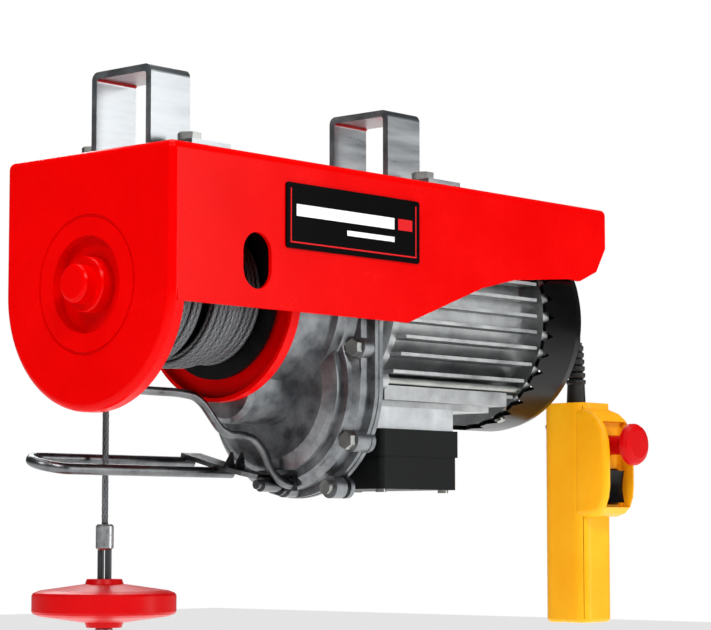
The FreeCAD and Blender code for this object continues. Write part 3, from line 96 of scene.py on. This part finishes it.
def makeCamera():
    camera = bpy.data.cameras.new("camera")
    camera.lens = view["lens"]
    camera.sensor_width = view["sensor"]
    camera.clip_end = view["farthest"]
    holder = bpy.data.objects.new("camera", camera)
    bpy.context.collection.objects.link(holder)
    holder.location = view["place"]
    holder.rotation_euler = (math.radians(90 + view["pitch"]), 0, math.radians(view["azimuth"]))
    bpy.context.scene.camera = holder


studio = {
    "floor": "#F2F2F1",
    "floorHalf": 12.0,
    "floorRough": 0.8,
    "floorDrop": 0.22,       # below the lowest point at rest, so the lowered hook stays above it
    "floorGlow": 0.78,       # lifts the paper to the pale tone of the wall behind it
    "surround": "#7D8083",
    "surroundStrength": 0.42,
    "backdrop": "#FFFFFF",
    "backdropStrength": 1.0,
    # each soft box: place, aimed at, width, height, watts
    "boxes": {
        "key": ((-0.9, -2.0, 1.7), (0, 0, -0.08), 0.8, 0.8, 50),
        "side": ((1.5, -2.2, 0.1), (0.1, 0, -0.12), 0.5, 1.4, 20),
        "end": ((-2.1, -0.3, 1.25), (-0.15, 0, -0.1), 0.6, 0.6, 27),
        "top": ((0.1, 0.3, 2.4), (0, 0, 0), 2.0, 2.0, 55),
        "back": ((1.4, 2.2, 1.5), (0, 0, -0.15), 1.4, 1.2, 34),
        "low": ((-0.9, -1.6, -1.1), (0, 0, -0.2), 1.2, 0.6, 8),
    },
}


def makeStudio():
    # the plain transform keeps the red as saturated as the paint is
    bpy.context.scene.view_settings.view_transform = "Standard"
    world = bpy.data.worlds.new("studio")
    bpy.context.scene.world = world
    world.use_nodes = True
    tree = world.node_tree
    tree.nodes.clear()
    # the camera sees a white wall, and the surfaces are lit by a dimmer grey one
    seen = addNode(tree, "ShaderNodeBackground",
                   {"Color": linear(studio["backdrop"]), "Strength": studio["backdropStrength"]})
    felt = addNode(tree, "ShaderNodeBackground",
                   {"Color": linear(studio["surround"]), "Strength": studio["surroundStrength"]})
    rays = addNode(tree, "ShaderNodeLightPath")
    mix = addNode(tree, "ShaderNodeMixShader", {},
                  {0: rays.outputs["Is Camera Ray"], 1: felt.outputs[0], 2: seen.outputs[0]})
    addNode(tree, "ShaderNodeOutputWorld", {}, {"Surface": mix.outputs[0]})
    for name, (place, target, width, height, watts) in studio["boxes"].items():
        light = bpy.data.lights.new(name, "AREA")
        light.shape = "RECTANGLE"
        light.size, light.size_y, light.energy = width, height, watts
        holder = bpy.data.objects.new(name, light)
        holder.location = place
        holder.rotation_euler = (Vector(target) - Vector(place)).to_track_quat("-Z", "Y").to_euler()
        bpy.context.collection.objects.link(holder)
    half, level = studio["floorHalf"], cadBox[0][2] - studio["floorDrop"]
    mesh = bpy.data.meshes.new("floor")
    corners = ((-half, -half), (half, -half), (half, half), (-half, half))
    mesh.from_pydata([(x, y, level) for x, y in corners], [], [(0, 1, 2, 3)])
    floor = bpy.data.objects.new("floor", mesh)
    bpy.context.collection.objects.link(floor)
    material = bpy.data.materials.new("matt paper floor")
    material.use_nodes = True
    shader = material.node_tree.nodes["Principled BSDF"]
    shader.inputs["Base Color"].default_value = linear(studio["floor"])
    shader.inputs["Roughness"].default_value = studio["floorRough"]
    shader.inputs["Emission Color"].default_value = linear(studio["floor"])
    shader.inputs["Emission Strength"].default_value = studio["floorGlow"]
    mesh.materials.append(material)


# tones: the two colours the surface drifts between; rough: its range; drift and grain: pattern sizes in mm;
# depth: how high the grain stands, mm; stretch: how the grain is drawn out along X, Y, Z;
# metal, coat, soft and shine: the shader's metallic, coat, subsurface and specular level
finishes = {
    # glossy powder coat: a wet, saturated red with the faint orange peel of baked powder
    "red powder coat": dict(tones=("#CC0000", "#D60000"), rough=(0.2, 0.3), drift=60, grain=1.6,
                            depth=0.02, coat=0.02, shine=0.05),
    # bright zinc on rolled strip: pale and streaky, the streaks along the strap
    "zinc plated strip": dict(tones=("#8C9093", "#B4B8BA"), metal=1, rough=(0.24, 0.4), drift=14,
                              grain=0.8, depth=0.01, stretch=(9, 1, 1)),
    # zinc plated bolts: soft grey, slightly yellow where the plating pools
    "zinc plated bolts": dict(tones=("#848683", "#A3A5A1"), metal=1, rough=(0.24, 0.4), drift=14,
                              grain=0.7, depth=0.01),
    # sand-cast aluminium: grey, sparkling and uneven from the mould
    "cast aluminium": dict(tones=("#55575A", "#8B8E90"), metal=1, rough=(0.32, 0.52), drift=13, grain=0.9,
                           depth=0.12),
    # die-cast motor shell: a little brighter and smoother than the gearbox
    "die cast motor shell": dict(tones=("#8B8D8E", "#B5B7B7"), metal=1, rough=(0.3, 0.46), drift=22,
                                 grain=0.7, depth=0.04),
    # oiled bar steel: dark, with long soft highlights
    "oiled bar steel": dict(tones=("#47484A", "#737476"), metal=1, rough=(0.24, 0.38), drift=16, grain=0.5,
                            depth=0.03),
    # turned steel: mid grey and bright
    "turned steel": dict(tones=("#7C7D7E", "#9C9D9E"), metal=1, rough=(0.22, 0.34), drift=10, grain=0.4,
                         depth=0.01),
    # phosphated steel: near black, matt
    "black phosphate steel": dict(tones=("#070707", "#101011"), metal=0.15, rough=(0.42, 0.58), drift=12,
                                  grain=0.6, depth=0.03, shine=0.15),
    # galvanised sheet: pale, with the soft cloudiness of its zinc
    "galvanised sheet": dict(tones=("#9A9D9F", "#C3C6C8"), metal=1, rough=(0.34, 0.46), drift=20,
                             grain=1.2, depth=0.004),
    # gloss moulded polypropylene: deep black that holds soft reflections of the room
    "moulded black polypropylene": dict(tones=("#020202", "#050506"), rough=(0.18, 0.28), drift=30,
                                        grain=0.9, depth=0.01, shine=0.13),
    # moulded box plastic: very dark grey, flatter
    "moulded box ABS": dict(tones=("#08090A", "#0F1011"), rough=(0.4, 0.55), drift=30, grain=0.6,
                            depth=0.04, shine=0.12),
    # gloss print film of the badge
    "gloss black film": dict(tones=("#010101", "#020203"), rough=(0.3, 0.4), drift=40, grain=2,
                             depth=0.002, shine=0.03),
    "red print": dict(tones=("#C4060D", "#CE0A10"), rough=(0.4, 0.5), drift=30, grain=1, depth=0.001,
                      shine=0.15),
    "white print": dict(tones=("#E6E6E6", "#F0F0F0"), rough=(0.4, 0.5), drift=30, grain=1, depth=0.001,
                        shine=0.15),
    # pressed aluminium ferrules: bright, with press marks
    "pressed aluminium": dict(tones=("#8F9194", "#B9BBBD"), metal=1, rough=(0.26, 0.42), drift=5,
                              grain=0.9, depth=0.05),
    # forged and plated hooks: pale zinc over a hammered scale surface
    "forged zinc plated steel": dict(tones=("#7F817F", "#ADAFAC"), metal=1, rough=(0.32, 0.5), drift=9,
                                     grain=1.5, depth=0.12),
    # gloss moulded crimson
    "gloss crimson nylon": dict(tones=("#B40206", "#C20307"), rough=(0.3, 0.4), drift=40, grain=1.5,
                                depth=0.02, shine=0.1),
    # yellow ABS handset: warm, satin, softly translucent
    "satin yellow ABS": dict(tones=("#F3A208", "#F8B115"), rough=(0.34, 0.46), drift=50, grain=0.8,
                             depth=0.02, soft=0.04, shine=0.2),
    # black rubber: matt and faintly dusty
    "black rubber": dict(tones=("#0A0A0A", "#151515"), rough=(0.45, 0.62), drift=20, grain=0.6, depth=0.03,
                         shine=0.4),
    # varnished copper and laminated iron inside the motor
    "varnished copper": dict(tones=("#6B3A1C", "#8A5026"), metal=0.8, rough=(0.3, 0.45), drift=8,
                             grain=0.8, depth=0.05),
}


# what every finish shares
surface = {
    "coatRough": 0.08,
    "softDepth": 0.004,
    "slow": {"Detail": 5.0, "Roughness": 0.62},
    "fine": {"Detail": 3.0, "Roughness": 0.55},
    "slowSpan": (0.3, 0.7),      # noise seldom leaves this span, so it is stretched to the full range
    "grainShare": 0.4,           # how much of the fine noise joins the slow one in the roughness
    "glossSpan": (0.1, 1.2),
}


# colour and roughness drift with one slow noise, and a finer one raises the grain
def makeFinish(name, tones, rough, drift, grain, depth, metal=0.0, coat=0.0, soft=0.0, shine=0.5,
               stretch=(1, 1, 1)):
    material = bpy.data.materials.new(name)
    material.use_nodes = True
    tree = material.node_tree
    shader = tree.nodes["Principled BSDF"]
    fixed = {"Metallic": metal, "Coat Weight": coat, "Coat Roughness": surface["coatRough"],
             "Subsurface Weight": soft, "Subsurface Scale": surface["softDepth"],
             "Specular IOR Level": shine}
    for key, setting in fixed.items():
        shader.inputs[key].default_value = setting
    where = addNode(tree, "ShaderNodeTexCoord")
    drawn = addNode(tree, "ShaderNodeMapping", {"Scale": tuple(1 / s for s in stretch)},
                    {"Vector": where.outputs["Object"]})
    slow = addNode(tree, "ShaderNodeTexNoise", {"Scale": 1 / (drift * mm), **surface["slow"]},
                   {"Vector": drawn.outputs[0]})
    fine = addNode(tree, "ShaderNodeTexNoise", {"Scale": 1 / (grain * mm), **surface["fine"]},
                   {"Vector": drawn.outputs[0]})
    spread = addNode(tree, "ShaderNodeMapRange",
                     {"From Min": surface["slowSpan"][0], "From Max": surface["slowSpan"][1]},
                     {"Value": slow.outputs["Fac"]})
    colour = addNode(tree, "ShaderNodeMix", {"data_type": "RGBA", 6: linear(tones[0]), 7: linear(tones[1])},
                     {0: spread.outputs[0]})
    both = addNode(tree, "ShaderNodeMath", {"operation": "MULTIPLY_ADD", 1: surface["grainShare"]},
                   {0: fine.outputs["Fac"], 2: spread.outputs[0]})
    gloss = addNode(tree, "ShaderNodeMapRange",
                    {"From Min": surface["glossSpan"][0], "From Max": surface["glossSpan"][1],
                     "To Min": rough[0], "To Max": rough[1]}, {"Value": both.outputs[0]})
    bump = addNode(tree, "ShaderNodeBump", {"Strength": 1.0, "Distance": depth * mm},
                   {"Height": fine.outputs["Fac"]})
    tree.links.new(colour.outputs[2], shader.inputs["Base Color"])
    tree.links.new(gloss.outputs[0], shader.inputs["Roughness"])
    tree.links.new(bump.outputs[0], shader.inputs["Normal"])
    return material


made = {}


def finish(name):
    if name not in made:
        made[name] = makeFinish(name, **finishes[name])
    return made[name]


wearing = {
    "red powder coat": ["housing_channel", "drum_end_plate", "gearbox_end_plate"],
    "zinc plated strip": ["clamp_left", "clamp_right"],
    "zinc plated bolts": ["clamp_bolts", "clamp_washers", "clamp_nuts", "gearbox_bolts", "tie_rods",
                          "cover_screws"],
    "cast aluminium": ["gearbox_housing", "gearbox_cover"],
    "die cast motor shell": ["motor_front_shield", "motor_housing", "motor_rear_shield"],
    "oiled bar steel": ["upper_limit_lever", "slack_rope_lever"],
    "turned steel": ["drum_shaft", "idler_shaft", "motor_pinion", "idler_gear", "drum_gear", "bearings",
                     "rotor"],
    "black phosphate steel": ["drum", "sheave"],
    "galvanised sheet": ["box_bracket"],
    "moulded black polypropylene": ["fan_cover", "fan", "pendant_gland", "mains_gland", "capacitor",
                                    "rocker_switch", "switch_block"],
    "moulded box ABS": ["box_base", "box_lid", "terminal_block", "limit_switch"],
    "gloss black film": ["badge_plate"],
    "pressed aluminium": ["rope_ferrules"],
    "forged zinc plated steel": ["load_hook", "load_hook_latch", "block_hook", "block_hook_latch",
                                 "block_cheeks",
                                 "block_bolts"],
    "gloss crimson nylon": ["stop_disc", "stop_button"],
    "satin yellow ABS": ["pendant_front_shell", "pendant_rear_shell"],
    "black rubber": ["pendant_boot", "cable_tie"],
    "varnished copper": ["motor_stator"],
}


def dressNodes():
    for name, labels in wearing.items():
        for label in labels:
            mesh = nodes[label].data
            mesh.materials.clear()
            mesh.materials.append(finish(name))


# a grid of points, rows along the piece and columns round it, as one quad mesh whose ends close to a fan;
# uv: the surface's own map; groove: how deep between two strands each point lies, 1 at the bottom
def gridPiece(name, grid, material, body, uv, groove):
    rows, columns = grid.shape[:2]
    points = grid.reshape(-1, 3)
    i, j = np.meshgrid(np.arange(rows - 1), np.arange(columns), indexing="ij")
    k = (j + 1) % columns
    quads = np.stack([i * columns + j, i * columns + k, (i + 1) * columns + k, (i + 1) * columns + j], -1)
    points = np.vstack([points, grid[0].mean(0), grid[-1].mean(0)])
    first, last, base = rows * columns, rows * columns + 1, (rows - 1) * columns
    turn = [(c, (c + 1) % columns) for c in range(columns)]
    faces = quads.reshape(-1, 4).tolist()
    faces += [(first, b, a) for a, b in turn] + [(last, base + a, base + b) for a, b in turn]
    mesh = bpy.data.meshes.new(name)
    mesh.from_pydata(points.tolist(), [], faces)
    layer = mesh.uv_layers.new(name="surface")
    corners = np.zeros(len(mesh.loops), int)
    mesh.loops.foreach_get("vertex_index", corners)
    flat = np.vstack([uv.reshape(-1, 2), uv[0].mean(0), uv[-1].mean(0)])
    layer.data.foreach_set("uv", flat[corners].ravel())
    depth = np.concatenate([groove.ravel(), np.zeros(len(points) - groove.size)])
    mesh.attributes.new("groove", "FLOAT", "POINT").data.foreach_set("value", depth)
    mesh.polygons.foreach_set("use_smooth", np.ones(len(mesh.polygons), bool))
    mesh.materials.append(material)
    piece = bpy.data.objects.new(name, mesh)
    bpy.context.collection.objects.link(piece)
    if body:
        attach(piece, body)
    return piece


# the smooth line that a NURBS spline makes of its control points, as rows of points
def splineLine(points, resolution=8):
    curve = bpy.data.curves.new("guide", "CURVE")
    curve.dimensions = "3D"
    curve.resolution_u = resolution
    spline = curve.splines.new("NURBS")
    spline.points.add(len(points) - 1)
    spline.points.foreach_set("co", np.hstack([points, np.ones((len(points), 1))]).ravel())
    spline.order_u = 3
    spline.use_endpoint_u = True
    guide = bpy.data.objects.new("guide", curve)
    mesh = bpy.data.meshes.new_from_object(guide)
    line = np.zeros(len(mesh.vertices) * 3)
    mesh.vertices.foreach_get("co", line)
    bpy.data.meshes.remove(mesh)
    bpy.data.objects.remove(guide)
    bpy.data.curves.remove(curve)
    return line.reshape(-1, 3)


# the same line with its points a fixed distance apart
def evenly(line, step):
    run = np.concatenate([[0], np.cumsum(np.linalg.norm(np.diff(line, axis=0), axis=1))])
    spots = np.linspace(0, run[-1], max(3, int(run[-1] / step) + 1))
    return np.stack([np.interp(spots, run, line[:, axis]) for axis in range(3)], 1)


rope = {
    "diameter": 4.2 * mm,
    "strands": 6,
    "lay": 27 * mm,          # one full turn of the strands
    "around": 36,
    "step": 2.4 * mm,        # between rings along the rope
    "tones": ("#4A4C4E", "#8E9194"),
    # painted shade: the near-black colour the grooves between strands are darkened to
    "grooveShadeTone": "#0C0C0D",
    "groove": 0.26,          # how far the surface drops between two strands, as a share of the radius
    "crown": 0.7,            # below 1 it keeps a strand round and its groove narrow
    "rough": 0.42,
    "wireWide": 0.7 * mm,    # a wire's pitch along the rope, coarser than the real one so that it shows
    "wireRound": 4,          # wire bands per radian round the rope
    "wireWave": {"Scale": 0.5, "Distortion": 0.6, "Detail": 1.0, "wave_profile": "SIN",
                 "bands_direction": "DIAGONAL"},
    # the groove depths over which the painted shade comes in
    "grooveShadeSpan": (0.25, 0.9),
    "bump": 0.8,
    "bumpDepth": 0.15 * mm,
}


# galvanised strand: bright wires laid across each strand, and painted shade darkening the grooves between
# the strands
def makeRopeMaterial():
    material = bpy.data.materials.new("galvanised wire strand")
    material.use_nodes = True
    tree = material.node_tree
    shader = tree.nodes["Principled BSDF"]
    shader.inputs["Metallic"].default_value = 1.0
    shader.inputs["Roughness"].default_value = rope["rough"]
    where = addNode(tree, "ShaderNodeUVMap", {"uv_map": "surface"})
    wires = addNode(tree, "ShaderNodeTexWave", rope["wireWave"], {"Vector": where.outputs[0]})
    colour = addNode(tree, "ShaderNodeMix",
                     {"data_type": "RGBA", 6: linear(rope["tones"][0]), 7: linear(rope["tones"][1])},
                     {0: wires.outputs["Fac"]})
    # painted shade: the colour darkens towards near black the deeper a point lies between two strands
    gaps = addNode(tree, "ShaderNodeAttribute", {"attribute_name": "groove"})
    dark = addNode(tree, "ShaderNodeMapRange",
                   {"From Min": rope["grooveShadeSpan"][0], "From Max": rope["grooveShadeSpan"][1]},
                   {"Value": gaps.outputs["Fac"]})
    laid = addNode(tree, "ShaderNodeMix", {"data_type": "RGBA", 7: linear(rope["grooveShadeTone"])},
                   {0: dark.outputs[0], 6: colour.outputs[2]})
    bump = addNode(tree, "ShaderNodeBump", {"Strength": rope["bump"], "Distance": rope["bumpDepth"]},
                   {"Height": wires.outputs["Fac"]})
    tree.links.new(laid.outputs[2], shader.inputs["Base Color"])
    tree.links.new(bump.outputs[0], shader.inputs["Normal"])
    return material


# strands laid round a path: the radius swells over each strand, as the cosine of half the strand count
# times the angle left after the twist, and the swell turns once a lay; path and outward are rows of
# points and of directions across the path
def ropeSurface(path, outward):
    along = np.gradient(path, axis=0)
    along /= np.linalg.norm(along, axis=1)[:, None]
    outward = outward - (outward * along).sum(1)[:, None] * along
    outward /= np.linalg.norm(outward, axis=1)[:, None]
    sideways = np.cross(along, outward)
    run = np.concatenate([[0], np.cumsum(np.linalg.norm(np.diff(path, axis=0), axis=1))])
    angle = np.linspace(0, 2 * np.pi, rope["around"], endpoint=False)
    twist = 2 * np.pi * run / rope["lay"]
    swell = np.abs(np.cos(rope["strands"] / 2 * (angle[None, :] - twist[:, None])))
    radius = rope["diameter"] / 2 * (1 - rope["groove"] + rope["groove"] * swell ** rope["crown"])
    ring = (np.cos(angle)[None, :, None] * outward[:, None, :] +
            np.sin(angle)[None, :, None] * sideways[:, None, :])
    grid = path[:, None, :] + radius[..., None] * ring
    uv = np.stack([np.broadcast_to((run / rope["wireWide"])[:, None], radius.shape),
                   np.broadcast_to((angle * rope["wireRound"])[None, :], radius.shape)], -1)
    return grid, uv, 1 - swell


winding = {
    # each layer: first x, last x, turns, radius of the rope's own line at start and end (mm), wobble seed
    "layers": [(-137.4, -98.4, 9.0, 44.4, 43.9, 1), (-90.2, -44.9, 10.5, 42.2, 41.2, 2),
               (-136.0, -116.0, 4.6, 47.3, 47.0, 3), (-88.0, -70.0, 4.3, 45.2, 44.6, 5)],
    "wobble": 0.7,           # mm along the drum
    "waves": ((2.39, 1, 0.6), (5.13, 2, 0.4)),     # each wave's rate, share of the seed and size
    "lift": (0.35, 3.3),     # how far the radius drifts, mm, and how fast
    "outward": 0.7,          # the spline runs inside its control points, so they stand further out
    "pointsPerTurn": 16,
}


# a helix on the drum: x and the radius run evenly with the turns, and both drift by sines
def windingPath(first, last, turns, radiusStart, radiusEnd, seed):
    axisZ = (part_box("drum_gear")[0][2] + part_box("drum_gear")[1][2]) / 2
    turn = np.linspace(0, turns, int(turns * winding["pointsPerTurn"]) + 1)
    share = turn / turns
    drift = sum(np.sin(turn * rate + part * seed) * size for rate, part, size in winding["waves"])
    x = first + (last - first) * share + winding["wobble"] * drift * np.sin(np.pi * share)
    lift, rate = winding["lift"]
    radius = radiusStart + (radiusEnd - radiusStart) * share + lift * np.sin(turn * rate + seed)
    radius = radius / math.cos(math.pi / winding["pointsPerTurn"]) ** winding["outward"]
    angle = -2 * np.pi * turn + seed
    points = np.stack([x, radius * np.cos(angle), radius * np.sin(angle)], 1) * mm
    points[:, 2] += axisZ
    path = evenly(splineLine(points), rope["step"])
    return path, path - np.stack([path[:, 0], np.zeros(len(path)), np.full(len(path), axisZ)], 1)


def makeWindings(material):
    for number, layer in enumerate(winding["layers"]):
        grid, uv, groove = ropeSurface(*windingPath(*layer))
        name = f"drum_rope_{number}"
        gridPiece(name, grid, material, "drum_group", uv, groove)
    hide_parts("rope_windings")


def makeHangingRope(material):
    low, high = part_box("rope_line")
    x, y = (low[0] + high[0]) / 2, (low[1] + high[1]) / 2
    levels = np.linspace(high[2], low[2], 5)
    path = evenly(splineLine(np.array([(x, y, level) for level in levels])), rope["step"])
    grid, uv, groove = ropeSurface(path, np.tile([1.0, 0, 0], (len(path), 1)))
    # it pays out of the drum, so it is put on no body and runs from there down to the ferrule
    piece = gridPiece("hanging_rope", grid, material, None, uv, groove)
    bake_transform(piece)
    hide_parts("rope_line")


cable = {
    "diameter": 7 * mm,
    "length": 1.46,
    "route": [(147.5, 38, -190.5), (169, 38, -190), (194, 41, -184), (219, 46, -172), (242, 53, -155),
              (260, 61, -130), (272, 68, -101), (279, 71.5, -73)],
    "coilStart": 281.5, "coilY": 24, "coilZ": -62, "coilRadius": 42.5, "pitch": 7.2,
    "firstAngle": 16, "turns": 4, "turnPoints": 16,
    "drop": [(313.6, -18.5, -90), (313.6, -18.5, -131)],
}


# the run from the gland, a helix of side-by-side turns, then the drop to the handset
def cablePoints():
    first = math.radians(cable["firstAngle"])
    total = math.pi - first + cable["turns"] * 2 * math.pi
    count = int(total / (2 * math.pi) * cable["turnPoints"]) + 1
    angle = first + np.linspace(0, total, count)
    x = cable["coilStart"] + cable["pitch"] * (angle - first) / (2 * np.pi)
    y = cable["coilY"] + cable["coilRadius"] * np.cos(angle)
    z = cable["coilZ"] + cable["coilRadius"] * np.sin(angle)
    coil = np.stack([x, y, z], 1)
    return np.vstack([cable["route"], coil, cable["drop"]]) * mm


def makeCable():
    points = cablePoints()
    curve = bpy.data.curves.new("handset_cable", "CURVE")
    curve.dimensions = "3D"
    curve.bevel_depth = cable["diameter"] / 2
    curve.bevel_resolution = 5
    curve.resolution_u = 4
    curve.use_fill_caps = True
    spline = curve.splines.new("NURBS")
    spline.points.add(len(points) - 1)
    spline.points.foreach_set("co", np.hstack([points, np.ones((len(points), 1))]).ravel())
    spline.order_u = 3
    spline.use_endpoint_u = True
    curve.materials.append(finish("black rubber"))
    piece = bpy.data.objects.new("handset_cable", curve)
    bpy.context.collection.objects.link(piece)
    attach(piece, "hoist_frame")
    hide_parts("pendant_cable_upper", "pendant_cable_coil", "pendant_cable_lower")


badgePrint = {
    "inset": 3.4 * mm,       # the red line's distance from the badge's edge
    "line": 0.9 * mm,
    "proud": 0.12 * mm,
    "sunk": 0.3 * mm,
    # plain white bars, as shares of the badge: left, right, low, high
    "bars": [(0.07, 0.80, 0.50, 0.68), (0.44, 0.80, 0.30, 0.38)],
    "redBar": (0.83, 0.94, 0.50, 0.68),
}


# flat rectangles (x0, x1, z0, z1) just proud of the badge, each a closed box
def flatPrint(name, strips, material):
    low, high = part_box("badge_plate")
    front, back = low[1] - badgePrint["proud"], low[1] + badgePrint["sunk"]
    corners = np.array([(x, y, z) for x in (0, 1) for y in (0, 1) for z in (0, 1)])
    spans = np.array(strips)
    lowCorner = np.stack([spans[:, 0], np.full(len(spans), front), spans[:, 2]], 1)
    highCorner = np.stack([spans[:, 1], np.full(len(spans), back), spans[:, 3]], 1)
    points = lowCorner[:, None, :] + corners[None] * (highCorner - lowCorner)[:, None, :]
    box = np.array([(0, 1, 3, 2), (4, 6, 7, 5), (0, 4, 5, 1), (2, 3, 7, 6), (0, 2, 6, 4), (1, 5, 7, 3)])
    faces = (box[None] + 8 * np.arange(len(spans))[:, None, None]).reshape(-1, 4)
    mesh = bpy.data.meshes.new(name)
    mesh.from_pydata(points.reshape(-1, 3).tolist(), [], faces.tolist())
    mesh.materials.append(material)
    piece = bpy.data.objects.new(name, mesh)
    bpy.context.collection.objects.link(piece)
    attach(piece, "hoist_frame")


def makeBadgePrint():
    low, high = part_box("badge_plate")
    width, height = high[0] - low[0], high[2] - low[2]

    def share(bar):
        return (low[0] + bar[0] * width, low[0] + bar[1] * width,
                low[2] + bar[2] * height, low[2] + bar[3] * height)

    left, right = low[0] + badgePrint["inset"], high[0] - badgePrint["inset"]
    bottom, top = low[2] + badgePrint["inset"], high[2] - badgePrint["inset"]
    line = badgePrint["line"]
    # the red line runs down the left edge, along the bottom and up the right edge
    edges = [(left, left + line, bottom, top), (left + line, right - line, bottom, bottom + line),
             (right - line, right, bottom, top)]
    flatPrint("badge_line", edges + [share(badgePrint["redBar"])], finish("red print"))
    flatPrint("badge_bars", [share(bar) for bar in badgePrint["bars"]], finish("white print"))


print("camera and studio")
makeCamera()
makeStudio()
print("cords")
makeCable()
ropeMaterial = makeRopeMaterial()
makeHangingRope(ropeMaterial)
print("drum rope")
makeWindings(ropeMaterial)
nodes["rope_eyes"].data.materials.clear()
nodes["rope_eyes"].data.materials.append(ropeMaterial)
print("badge")
makeBadgePrint()
print("finishes")
dressNodes()
